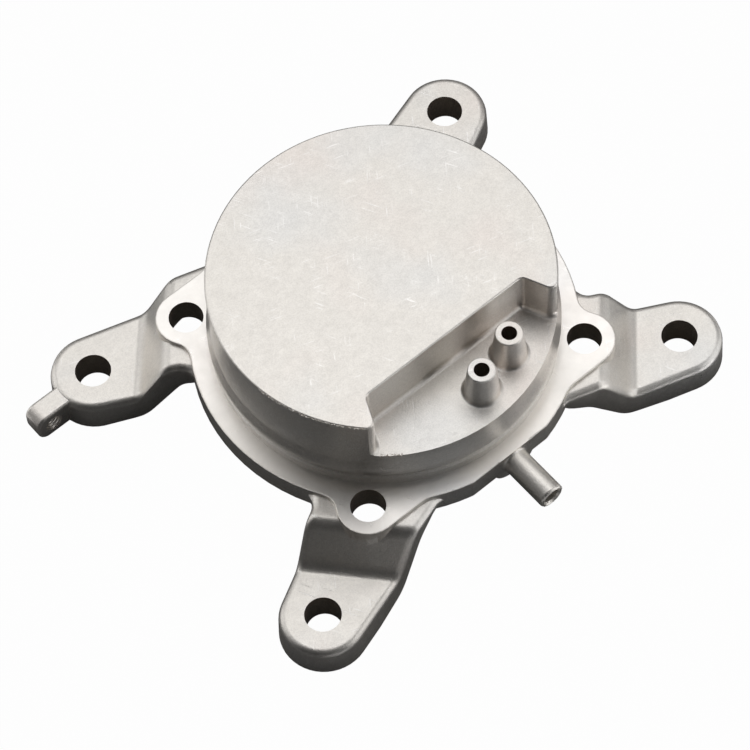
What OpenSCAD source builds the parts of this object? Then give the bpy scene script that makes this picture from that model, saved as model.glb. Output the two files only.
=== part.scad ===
// Engine cover plate: a one-piece precision casting, machined on its flange face and bores.
// Millimetres. The origin is on the drum's axis at the machined flange face, +Z points out of
// the drum's closed end, X runs along the long side of the foot rectangle, and the pocket and
// the side tube look towards -Y.

/* [Drum] */
// Outside diameter of the drum
drum_d = 88; // [84:0.5:89]
// Height of the drum's end face above the flange face
drum_h = 27.4; // [24:0.2:34]
// Thickness of the drum's side wall and end wall
wall = 4; // [3:0.25:5]
// Radius that softens the rim of the end face
rim_r = 0.5; // [0.3:0.1:1]
// Diameter of the machined spigot at the drum's foot
spigot_d = 90; // [89.6:0.1:92]
// Height at which the spigot's lead-in cone starts
spigot_h = 9.6; // [8.5:0.1:11]
// Height of the lead-in cone
lead_in = 2.4; // [1.5:0.1:3]
// Height of the seal groove above the flange face
groove_z = 2.6; // [2:0.1:3]
// Width of the seal groove
groove_w = 2.8; // [2:0.1:3.2]
// Depth of the seal groove
groove_depth = 0.7; // [0.3:0.1:1]

/* [Flange] */
// Diameter of the flange disc
flange_d = 100; // [98:0.5:104]
// Thickness of the flange
flange_t = 7.7; // [6:0.1:9]
// Distance from the axis to the flat milled on the flange below the side tube
flat_y = 48.5; // [47.5:0.1:49]
// Diameter of the flange bolt circle
flange_pcd = 101.8; // [100:0.1:104]
// Bore for a flange bolt, a clearance hole for M8
flange_bore_d = 9; // [8:0.1:10]
// Radius of a bolt ear around its bore
ear_r = 8; // [7.5:0.1:9]
// Radius of the tight hollow between an ear and the disc
ear_hollow_r = 5; // [4:0.5:6]
// Radius of the wide hollow where an ear's straight side runs into the disc
web_hollow_r = 6; // [4:0.5:7]
// Diameter of the bolt seat sunk below each ear
seat_d = 15.6; // [14:0.1:15.8]

/* [Arms] */
// Foot bore spacing along X
foot_x = 120; // [118:0.5:124]
// Foot bore spacing along Y
foot_y = 92.4; // [90:0.2:95]
// Bore in each foot
foot_bore_d = 9.4; // [8.4:0.1:10.4]
// Radius of the round foot pad
pad_r = 11.2; // [10:0.1:12]
// Thickness of the foot pad
pad_t = 9.5; // [8:0.25:11]
// Drop from the flange face to the foot pad's top
pad_drop = 13.2; // [11:0.2:15]
// Drop from the flange face to the arm's root
root_drop = 1.3; // [1:0.1:2]
// Angle between X and the arm's inner edge
inner_edge_a = 28.1; // [26:0.1:30]
// Angle between X and the arm's outer edge
outer_edge_a = 17.3; // [16:0.1:19]
// Radius where the arm's edges run into the disc
arm_hollow_r = 4; // [3:0.5:5]
// Angle between X and the direction in which the ramp falls
ramp_a = 42; // [40:0.5:45]
// Distance from the axis to the top of the arm's ramp
ramp_start = 55.9; // [55:0.1:57]
// Distance from the axis to the foot of the arm's ramp
ramp_end = 63.2; // [62.4:0.1:65]
// Radius of the soft cast edges on top of arms and pads
arm_edge_r = 2; // [1:0.1:2.4]
// Spread of the pad's sides from top to underside, for the mould
arm_draft = 0.3; // [0.1:0.1:0.6]
// How far the arm's underside is drawn in at its root
root_tuck = 1.5; // [0.5:0.1:2]

/* [Pocket] */
// Distance from the axis to the pocket's straight wall
pocket_y = 24; // [20:0.5:28]
// Length of the pocket's straight wall
pocket_w = 50.6; // [46:0.2:54]
// Angle by which each end wall flares outwards
pocket_flare = 24; // [18:1:30]
// Depth of the pocket below the end face
pocket_depth = 14; // [12:0.2:16]
// Radius between the pocket's walls and its floor
pocket_floor_r = 1.3; // [0.8:0.1:2]
// Radius of the nose between an end wall and the drum's side
nose_r = 2; // [1.2:0.1:3]

/* [Hose stubs] */
// Outside diameter of a stub at its tip
stub_tip_d = 7.2; // [6.6:0.1:8]
// Outside diameter of a stub at its foot
stub_foot_d = 9; // [8.4:0.1:10]
// Bore of a stub
stub_bore_d = 4; // [3:0.1:5]
// Height of a stub above the pocket's floor
stub_h = 10.4; // [8:0.2:12]
// Place of the first stub along X
stub_1_x = 1.9; // [0:0.1:4]
// Distance of the first stub from the X axis
stub_1_y = 35.7; // [34:0.1:37]
// Place of the second stub along X
stub_2_x = 13.8; // [12:0.1:16]
// Distance of the second stub from the X axis
stub_2_y = 32.4; // [31:0.1:35]

/* [Side tube] */
// Outside diameter of the side tube
tube_d = 7.1; // [6:0.1:7.4]
// Bore of the side tube
tube_bore_d = 4.4; // [3:0.1:4.8]
// Distance from the axis to the side tube's end
tube_reach = 62.8; // [56:0.2:68]
// Sideways place of the side tube
tube_x = 1.3; // [0:0.1:2]
// Depth of the side tube's axis below the flange face
tube_drop = 4.3; // [3.9:0.1:4.8]
// Diameter of the boss that carries the tube into the flange
tube_boss_d = 13; // [11:0.5:14]

/* [Cable lug] */
// Width of the lug across its eye
lug_w = 6; // [5:0.5:8]
// Reach of the lug beyond the foot bore
lug_reach = 20.5; // [18:0.5:24]
// Distance from the foot bore to the lug's eye
lug_eye_x = 15.7; // [14:0.1:16.5]
// Diameter of the lug's eye
lug_eye_d = 5; // [4:0.1:5.5]
// Corner radius of the lug's free end
lug_corner_r = 3; // [2:0.25:4]
// Step between the pad's top and the lug's top
lug_step = 0.4; // [0.2:0.1:1]

/* [Hidden] */
$fn = 96;

casting_colour = [0.85, 0.84, 0.82];

drum_r = drum_d / 2;
spigot_r = spigot_d / 2;
flange_r = flange_d / 2;
floor_z = drum_h - pocket_depth;
pad_top = -pad_drop;
pad_bottom = pad_top - pad_t;
ear_xy = flange_pcd / 2 * cos(45);
cavity_r = drum_r - wall;
cut_over = 1;

// Softening of the flange's two edges
face_edge_r = 0.4;
back_edge_r = 1;
flange_steps = 2;
// Softening of the arms' underside, of the lug and of the corners beside the flange's flat
under_edge_r = 0.4;
lug_edge_r = 0.8;
flat_corner_r = 3;
// Largest gap between an arc and the straight line that stands for it
chord_gap = 0.05;
// Points nearer to each other than this are one point
point_gap = 0.005;
// Steps in the quarter turn of a softened edge
edge_steps = 3;

// An arc is [centre x, centre y, radius, start angle, end angle]. It bulges outwards where its
// angle grows and is a hollow where its angle falls, with the outline running anticlockwise.
function arc_points(arc, inset) =
    let (
        steps = max(2, ceil(abs(arc[4] - arc[3]) / (2 * acos(1 - chord_gap / arc[2])))),
        r = arc[2] + (arc[4] > arc[3] ? -inset : inset)
    )
    [for (i = [0:steps])
        let (a = arc[3] + (arc[4] - arc[3]) * i / steps)
        [arc[0] + r * cos(a), arc[1] + r * sin(a)]];

function all_points(arcs, inset) = [for (arc = arcs) each arc_points(arc, inset)];

// Indices of the points that don't repeat the point before them
function kept(points) =
    [for (i = [0:len(points) - 1])
        if (norm(points[i] - points[(i + len(points) - 1) % len(points)]) > point_gap) i];

function outline(arcs, inset) =
    let (points = all_points(arcs, inset), indices = kept(all_points(arcs, 0)))
    [for (i = indices) points[i]];

function reversed(list) = [for (i = [len(list) - 1:-1:0]) list[i]];
function mirror_x(arcs) = [for (a = reversed(arcs)) [-a[0], a[1], a[2], 180 - a[4], 180 - a[3]]];
function mirror_y(arcs) = [for (a = reversed(arcs)) [a[0], -a[1], a[2], -a[4], -a[3]]];

// Rings that round an edge: [inset, height] pairs for a quarter turn of radius r
function edge_up(r, z, steps = edge_steps) =
    [for (i = [0:steps]) let (a = 90 * i / steps) [r * (1 - sin(a)), z + r * (1 - cos(a))]];
function edge_down(r, z, steps = edge_steps) =
    [for (p = reversed(edge_up(r, 0, steps))) [p[0], z - p[1]]];

// A solid through one outline, drawn at each ring's inset and height. Its two ends are fans
// about the middle, a point that sees the whole outline.
module ring_loft(arcs, rings, middle = [0, 0]) {
    count = len(outline(arcs, 0));
    last = len(rings) - 1;
    rim = [for (ring = rings) each [for (p = outline(arcs, ring[0])) [p[0], p[1], ring[1]]]];
    low = len(rim);
    ends = [for (z = [rings[0][1], rings[last][1]]) [middle[0], middle[1], z]];
    faces = [for (i = [0:count - 1])
        let (j = (i + 1) % count)
        each concat(
            [[low, i, j]],
            [for (k = [0:last - 1])
                [k * count + i, (k + 1) * count + i, (k + 1) * count + j, k * count + j]],
            [[low + 1, last * count + j, last * count + i]])];
    polyhedron(concat(rim, ends), faces);
}

// A quarter of the flange's outline, from the X axis to the Y axis, with or without the flat
function flange_quarter(has_flat) =
    let (
        ear = [ear_xy, ear_xy],
        reach = norm(ear),
        far = flange_r + ear_hollow_r,
        near = ear_r + ear_hollow_r,
        hollow_a = 45 - acos((far * far + reach * reach - near * near) / (2 * far * reach)),
        hollow = far * [cos(hollow_a), sin(hollow_a)],
        to_ear = atan2(ear[1] - hollow[1], ear[0] - hollow[0]),
        web_y = ear_xy + ear_r + web_hollow_r,
        web = [sqrt(pow(flange_r + web_hollow_r, 2) - web_y * web_y), web_y],
        web_a = atan2(web[1], web[0]),
        corner_y = flat_y - flat_corner_r,
        corner = [sqrt(pow(flange_r - flat_corner_r, 2) - corner_y * corner_y), corner_y],
        corner_a = atan2(corner[1], corner[0])
    )
    concat(
        [[0, 0, flange_r, 0, hollow_a]],
        [[hollow[0], hollow[1], ear_hollow_r, hollow_a + 180, to_ear]],
        [[ear[0], ear[1], ear_r, to_ear - 180, 90]],
        [[web[0], web[1], web_hollow_r, 270, web_a + 180]],
        has_flat
            ? [[0, 0, flange_r, web_a, corner_a], [corner[0], corner[1], flat_corner_r, corner_a, 90]]
            : [[0, 0, flange_r, web_a, 90]]);

flange_arcs = concat(
    flange_quarter(false),
    mirror_x(flange_quarter(false)),
    mirror_y(concat(flange_quarter(true), mirror_x(flange_quarter(true)))));

module flange() {
    ring_loft(flange_arcs, concat(
        edge_up(back_edge_r, -flange_t, flange_steps),
        edge_down(face_edge_r, 0, flange_steps)));
}

// The land below the seal groove is this much smaller than the spigot in radius
land_gap = 0.4;
// Height over which a side of the seal groove slopes
groove_side = 0.3;

// Half section of the drum from the middle of the flange to the end face
function drum_section() =
    let (
        land_r = spigot_r - land_gap,
        groove_top = groove_z + groove_w,
        cone_z = max(groove_top + groove_side, spigot_h - lead_in)
    )
    concat(
        [[0, -flange_t / 2], [land_r, -flange_t / 2], [land_r, groove_z]],
        [[land_r - groove_depth, groove_z + groove_side]],
        [[land_r - groove_depth, groove_top - groove_side], [spigot_r, groove_top]],
        [[spigot_r, cone_z], [drum_r, spigot_h]],
        [for (p = edge_down(rim_r, drum_h)) [drum_r - p[0], p[1]]],
        [[0, drum_h]]);

module drum() {
    rotate_extrude() polygon(drum_section());
}

// The pocket's upper corners are rounder than its floor fillet by this much
corner_extra = 0.4;
pocket_corner_r = pocket_floor_r + corner_extra;
// The pocket's outline is drawn wide of the drum outside it
outside_r = 2;
outside_reach = 12;
// The nose's arc ends this many degrees before it would touch the drum's side
nose_stop = 20;

// Directions down an end wall and away from it, and the arc at its upper corner
along = [sin(pocket_flare), -cos(pocket_flare)];
away = [cos(pocket_flare), sin(pocket_flare)];
pocket_corner = [
    pocket_w / 2 - pocket_corner_r * (1 - sin(pocket_flare)) / cos(pocket_flare),
    -pocket_y - pocket_corner_r, pocket_corner_r, pocket_flare, 90];

function pocket_half() =
    let (
        corner = [pocket_w / 2, -pocket_y],
        off = corner * away + nose_r,
        nose = off * away + sqrt(pow(drum_r - nose_r, 2) - off * off) * along,
        tip_a = atan2(nose[1], nose[0]) - nose_stop,
        tip = nose + nose_r * [cos(tip_a), sin(tip_a)],
        out = tip / norm(tip),
        side_a = atan2(out[1], out[0]) + 90,
        turn = (drum_r + outside_reach) * out - outside_r * [cos(side_a), sin(side_a)],
        wide = drum_r + outside_reach
    )
    [
        [wide, -wide, outside_r, -90, 0],
        [turn[0], turn[1], outside_r, 0, side_a],
        [nose[0], nose[1], nose_r, tip_a + 360, 180 + pocket_flare],
        pocket_corner
    ];

pocket_arcs = concat(pocket_half(), mirror_x(pocket_half()));

module pocket() {
    ring_loft(pocket_arcs, concat(
        edge_up(pocket_floor_r, floor_z),
        [for (p = edge_up(rim_r, 0)) [-p[1], drum_h - p[0]]],
        [[-rim_r, drum_h + cut_over]]), [0, -drum_r]);
}

// The hollow below the end wall, kept clear of the pocket by one wall
cavity_fillet_r = 3;
mouth = 1;

// Outline of the pocket and its walls, as far out as the drum's side
function pocket_shell() =
    let (
        corner = arc_points(pocket_corner, -wall),
        half = concat([corner[0] + drum_r * along], corner)
    )
    concat(half, [for (p = reversed(half)) [-p[0], p[1]]]);

module cavity() {
    difference() {
        rotate_extrude() polygon(concat(
            [[0, -flange_t - cut_over], [cavity_r + mouth, -flange_t - cut_over]],
            [[cavity_r + mouth, -flange_t], [cavity_r, -flange_t + mouth]],
            [for (p = edge_down(cavity_fillet_r, drum_h - wall)) [cavity_r - p[0], p[1]]],
            [[0, drum_h - wall]]));
        translate([0, 0, floor_z - wall]) linear_extrude(drum_h) polygon(pocket_shell());
    }
}

// The arm is drawn in the first quadrant: u runs down its ramp, v across it towards X
inner_a = ramp_a - inner_edge_a;
outer_a = ramp_a - outer_edge_a;
pad_u = foot_x / 2 * cos(ramp_a) + foot_y / 2 * sin(ramp_a);
pad_v = foot_x / 2 * sin(ramp_a) - foot_y / 2 * cos(ramp_a);

// Data of one edge line, side +1 inner or -1 outer: [angle, normal, distance from the axis]
function edge_line(side) =
    let (a = side > 0 ? inner_a : outer_a, n = side * [-sin(a), cos(a)])
    [a, n, n * [pad_u, pad_v] + pad_r];

// Centre of the hollow where an edge line runs into the disc
function arm_hollow(side) =
    let (e = edge_line(side), off = e[2] + arm_hollow_r, t = [cos(e[0]), sin(e[0])])
    off * e[1] + sqrt(pow(flange_r + arm_hollow_r, 2) - off * off) * t;

// Point and outward normal of the arm's outline at u: [v, normal]
function arm_rim(side, u) =
    let (
        e = edge_line(side),
        touch_u = pad_u + pad_r * e[1][0],
        c = arm_hollow(side),
        line_u = c[0] - arm_hollow_r * e[1][0],
        disc_u = c[0] * flange_r / (flange_r + arm_hollow_r),
        fu = max(u, disc_u)
    )
    u >= touch_u
        ? let (s = sqrt(max(0, pad_r * pad_r - pow(u - pad_u, 2))))
            [pad_v + side * s, [(u - pad_u) / pad_r, side * s / pad_r]]
    : u >= line_u
        ? [(e[2] - u * e[1][0]) / e[1][1], e[1]]
    : let (s = sqrt(arm_hollow_r * arm_hollow_r - pow(fu - c[0], 2)))
        u >= disc_u
            ? [c[1] - side * s, [c[0] - u, side * s] / arm_hollow_r]
            : [c[1] - side * s, [0, side]];

// A ramp from 0 to 1 between two places, with soft bends
function soft_step(x, bend) = x < -bend ? 0 : x > bend ? x : pow(x + bend, 2) / (4 * bend);
function ramp(u, from, to, bend) = (soft_step(u - from, bend) - soft_step(u - to, bend)) / (to - from);

// Underside: it starts inside the flange, sags at the disc's rim and then falls with the ramp
root_cover = 0.5;
root_z = -flange_t + root_cover;
sag_z = -flange_t - 4.2;
sag_length = 6;
sag_bend = 1.5;
// Half length of the soft bends at the two ends of the ramp, on top and underneath
top_bend = 1.7;
under_bend = 2;
// The ramp underneath starts and ends sooner than the one on top
under_start = ramp_start - 4;
under_end = ramp_end - 1.4;

function arm_top(u) =
    -root_drop - (pad_drop - root_drop) * ramp(u, ramp_start, ramp_end, top_bend);

function arm_bottom(u) =
    root_z
    - (root_z - sag_z) * ramp(u, flange_r - sag_length, flange_r, sag_bend)
    - (sag_z - pad_bottom) * ramp(u, under_start, under_end, under_bend);

// How far the underside's outline is drawn in at u: at the root it tucks in, at the pad it spreads
tuck_bend = 1;
function tuck(u) = root_tuck - (root_tuck + arm_draft) * ramp(u, flange_r, pad_u - pad_r / 2, tuck_bend);

// Stations along the arm: the root, the bends of the ramps and the turn of the pad
arm_root_u = cavity_r + 1.5;
bends_u = under_start - under_bend;
pad_start = ramp_end + top_bend;
root_steps = 6;
bend_steps = 22;
pad_steps = 13;
pad_turn = acos(edge_line(1)[1][0]);
tip_turn = 4;
arm_stations = concat(
    [for (i = [0:root_steps - 1]) arm_root_u + (bends_u - arm_root_u) * i / root_steps],
    [for (i = [0:bend_steps]) bends_u + (pad_start - bends_u) * i / bend_steps],
    [for (i = [0:pad_steps]) pad_u + pad_r * cos(pad_turn + (tip_turn - pad_turn) * i / pad_steps)]);

// One point of an arm's section: the outline at u, drawn in by inset
function arm_point(side, u, inset) =
    let (rim = arm_rim(side, u))
    u > pad_start
        ? [u, rim[0]] - inset * rim[1]
        : [u, rim[0] - inset / rim[1][1]];

// One side of an arm's section, from the top to the underside
arm_upper = edge_up(arm_edge_r, 0);
arm_lower = reversed(edge_up(under_edge_r, 0, flange_steps));

function arm_side(side, u) = concat(
    [for (p = arm_upper)
        let (at = arm_point(side, u, p[0]))
        [at[0], at[1], arm_top(at[0]) - p[1]]],
    [for (p = arm_lower)
        let (at = arm_point(side, u, p[0] + tuck(u)))
        [at[0], at[1], arm_bottom(at[0]) + p[1]]]);

module arm() {
    count = 2 * (len(arm_upper) + len(arm_lower));
    points = [for (u = arm_stations) each concat(arm_side(1, u), reversed(arm_side(-1, u)))];
    last = len(arm_stations) - 1;
    skin = [for (k = [0:last - 1], i = [0:count - 1])
        let (j = (i + 1) % count)
        [k * count + i, k * count + j, (k + 1) * count + j, (k + 1) * count + i]];
    root_cap = [[for (i = [count - 1:-1:0]) i]];
    tip_cap = [for (i = [0:count / 2 - 2])
        [for (j = [i, i + 1, count - 2 - i, count - 1 - i]) j + last * count]];
    rotate([0, 0, ramp_a]) mirror([0, 1, 0]) polyhedron(points, concat(skin, root_cap, tip_cap));
}

module arms() {
    for (mx = [0, 1], my = [0, 1]) mirror([mx, 0, 0]) mirror([0, my, 0]) arm();
}

// A hose stub with a soft tip and a swept foot, standing on the pocket's floor
stub_tip_edge = 0.4;
sweep_r = 1;

module stub(x, y) {
    tip_r = stub_tip_d / 2;
    foot_r = stub_foot_d / 2;
    translate([x, y, floor_z])
        rotate_extrude() polygon(concat(
            [[0, -wall / 2], [foot_r + sweep_r, -wall / 2]],
            [for (p = edge_up(sweep_r, 0)) [foot_r + p[0], p[1]]],
            [for (p = edge_down(stub_tip_edge, stub_h)) [tip_r - p[0], p[1]]],
            [[0, stub_h]]));
}

// The side tube and the boss that carries it, along -Y
tube_edge = 0.8;
tube_mouth = 0.6;
boss_depth = 3;
face_margin = 0.1;

module side_tube() {
    tube_r = tube_d / 2;
    start = cavity_r + wall / 2;
    // The swept foot stays below the flange face
    sweep = min(sweep_r, tube_drop - tube_r - face_margin);
    translate([tube_x, 0, -tube_drop]) rotate([90, 0, 0]) {
        rotate_extrude() polygon(concat(
            [[0, start], [tube_r + sweep, start]],
            [for (p = edge_up(sweep, flat_y)) [tube_r + p[0], p[1]]],
            [for (p = edge_down(tube_edge, tube_reach)) [tube_r - p[0], p[1]]],
            [[0, tube_reach]]));
        // The boss is milled off level with the flange face
        translate([0, 0, flat_y - boss_depth]) linear_extrude(boss_depth) difference() {
            circle(d = tube_boss_d);
            translate([-tube_boss_d, tube_drop]) square([2 * tube_boss_d, tube_boss_d]);
        }
    }
}

// The cable lug on the far left foot, with its eye across it
module cable_lug() {
    x0 = -foot_x / 2 - lug_reach;
    x1 = -foot_x / 2 - pad_r / 2;
    top = pad_top - lug_step;
    c = lug_corner_r;
    arcs = [
        [x1 - c, pad_bottom + c, c, -90, 0],
        [x1 - c, top - c, c, 0, 90],
        [x0 + c, top - c, c, 90, 180],
        [x0 + c, pad_bottom + c, c, 180, 270]
    ];
    translate([0, foot_y / 2 + lug_w / 2, 0]) rotate([90, 0, 0])
        ring_loft(arcs, concat(edge_up(lug_edge_r, 0), edge_down(lug_edge_r, lug_w)),
            [(x0 + x1) / 2, (top + pad_bottom) / 2]);
}

module bores() {
    lug_z = (pad_top - lug_step + pad_bottom) / 2;
    for (x = [-1, 1], y = [-1, 1]) {
        translate([x * ear_xy, y * ear_xy, -flange_t - cut_over])
            cylinder(d = flange_bore_d, h = flange_t + 2 * cut_over);
        translate([x * ear_xy, y * ear_xy, pad_bottom])
            cylinder(d = seat_d, h = -flange_t - pad_bottom);
        translate([x * foot_x / 2, y * foot_y / 2, pad_bottom - cut_over])
            cylinder(d = foot_bore_d, h = pad_t + 2 * cut_over);
    }
    translate([stub_1_x, -stub_1_y, floor_z - wall - cut_over])
        cylinder(d = stub_bore_d, h = wall + stub_h + 2 * cut_over);
    translate([stub_2_x, -stub_2_y, floor_z - wall - cut_over])
        cylinder(d = stub_bore_d, h = wall + stub_h + 2 * cut_over);
    translate([tube_x, -cavity_r + wall, -tube_drop]) rotate([90, 0, 0]) {
        bore_end = tube_reach - cavity_r + wall;
        cylinder(d = tube_bore_d, h = bore_end + cut_over);
        translate([0, 0, bore_end - tube_mouth])
            cylinder(d1 = tube_bore_d, d2 = tube_bore_d + 4 * tube_mouth, h = 2 * tube_mouth);
    }
    translate([-foot_x / 2 - lug_eye_x, foot_y / 2 + lug_w / 2 + cut_over, lug_z]) rotate([90, 0, 0])
        cylinder(d = lug_eye_d, h = lug_w + 2 * cut_over);
}

module cover_casting() {
    color(casting_colour) difference() {
        union() {
            difference() {
                union() {
                    flange();
                    drum();
                    arms();
                    side_tube();
                    cable_lug();
                }
                cavity();
                pocket();
            }
            stub(stub_1_x, -stub_1_y);
            stub(stub_2_x, -stub_2_y);
        }
        bores();
    }
}

cover_casting();
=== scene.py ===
"""Studio scene of a one-piece engine cover casting.

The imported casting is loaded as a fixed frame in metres. Its skin is smoothed and dressed in
cast and machined metal, the fine details that are too small for the solid are added to it, and
a plain pale studio is set up round it, with the camera at the photograph's viewing angle.
"""

from __future__ import annotations

import logging
import math
from dataclasses import dataclass, field
from enum import Enum

import bmesh
import bpy
from mathutils import Matrix, Vector


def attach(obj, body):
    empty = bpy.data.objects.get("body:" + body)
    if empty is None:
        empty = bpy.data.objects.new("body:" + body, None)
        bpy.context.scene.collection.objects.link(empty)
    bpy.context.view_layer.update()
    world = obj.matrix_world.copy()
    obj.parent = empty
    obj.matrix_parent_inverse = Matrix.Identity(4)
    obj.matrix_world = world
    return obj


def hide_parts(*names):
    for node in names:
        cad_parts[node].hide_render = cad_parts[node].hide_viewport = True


LOG = logging.getLogger("engine_cover")
MM = 0.001
OPAQUE = 1.0
FULL_STRENGTH = 1.0
QUARTER_TURN = 0.25
DOUBLE_GAP = 1e-6

END_FACE_RANGE = (26.2 * MM, 27.0 * MM)
FRESH_METAL = (0.97, 0.95, 0.93)
PATCH_SCALE = 32.0
PATCH_SHIFT = (0.31, 0.17, 0.23)
PATCH_LIMITS = (0.5, 0.72)
TONE_RATIO = 9.0
TONE_LIMITS = (0.3, 0.7)
# painted shade: the grain heights over which the hollows are darkened in the base colour
HOLLOW_SHADE_LIMITS = (0.35, 0.65)
SCRATCH_SCALE = 150.0
SCRATCH_ANGLES = (0.3, 1.1, 2.2)
SCRATCH_STRETCH = 18.0
SCRATCH_LIMITS = (0.72, 0.78)
SCRATCH_POLISH = -0.18
SCRATCH_DEPTH = -0.6
SCATTER_SCALE = 160.0
SCATTER_LIMITS = (0.5, 0.6)
RING_DISTORTION = 0.6
RING_DETAIL = 1.0
COARSE_DETAIL = 2.0
FINE_DETAIL = 1.0
PATCH_DETAIL = 2.0
TONE_DETAIL = 4.0
SCRATCH_DETAIL = 0.0
SCATTER_DETAIL = 1.0
CARD_COLUMNS = 12

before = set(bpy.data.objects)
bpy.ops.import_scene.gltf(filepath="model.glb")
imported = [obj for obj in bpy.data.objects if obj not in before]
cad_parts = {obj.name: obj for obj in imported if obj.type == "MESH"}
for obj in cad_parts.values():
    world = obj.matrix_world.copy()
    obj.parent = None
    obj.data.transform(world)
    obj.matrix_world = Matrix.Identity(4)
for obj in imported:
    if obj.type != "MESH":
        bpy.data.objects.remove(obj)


class Finish(Enum):
    """The finishes on the casting, in the order of its material slots."""

    CAST = 0
    MILLED = 1
    DRILLED = 2


def smooth_noise(tree: bpy.types.NodeTree, vector: bpy.types.NodeSocket,
                 scale: bpy.types.NodeSocket | float, detail: float) -> bpy.types.NodeSocket:
    """Adds a noise texture.

    Args:
        tree: The node tree that it goes into.
        vector: The coordinates that it reads.
        scale: Cells per metre, as a number or as a socket.
        detail: Octaves.

    Returns:
        The noise, from 0 to 1.
    """
    noise = tree.nodes.new("ShaderNodeTexNoise")
    noise.inputs["Detail"].default_value = detail
    tree.links.new(vector, noise.inputs["Vector"])
    if isinstance(scale, float):
        noise.inputs["Scale"].default_value = scale
    else:
        tree.links.new(scale, noise.inputs["Scale"])
    return noise.outputs["Fac"]


def ramp(tree: bpy.types.NodeTree, low: float, high: float) -> bpy.types.Node:
    """Adds a clamped map of a value from low..high to 0..1.

    Args:
        tree: The node tree that it goes into.
        low: Value that becomes 0.
        high: Value that becomes 1.

    Returns:
        The Map Range node.
    """
    node = tree.nodes.new("ShaderNodeMapRange")
    node.inputs["From Min"].default_value = low
    node.inputs["From Max"].default_value = high
    return node


def math_node(tree: bpy.types.NodeTree, operation: str, *values: float) -> bpy.types.Node:
    """Adds a Math node.

    Args:
        tree: The node tree that it goes into.
        operation: Blender's name of the operation.
        values: Values of its first sockets.

    Returns:
        The node.
    """
    node = tree.nodes.new("ShaderNodeMath")
    node.operation = operation
    for socket, value in zip(node.inputs, values):
        socket.default_value = value
    return node


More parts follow.
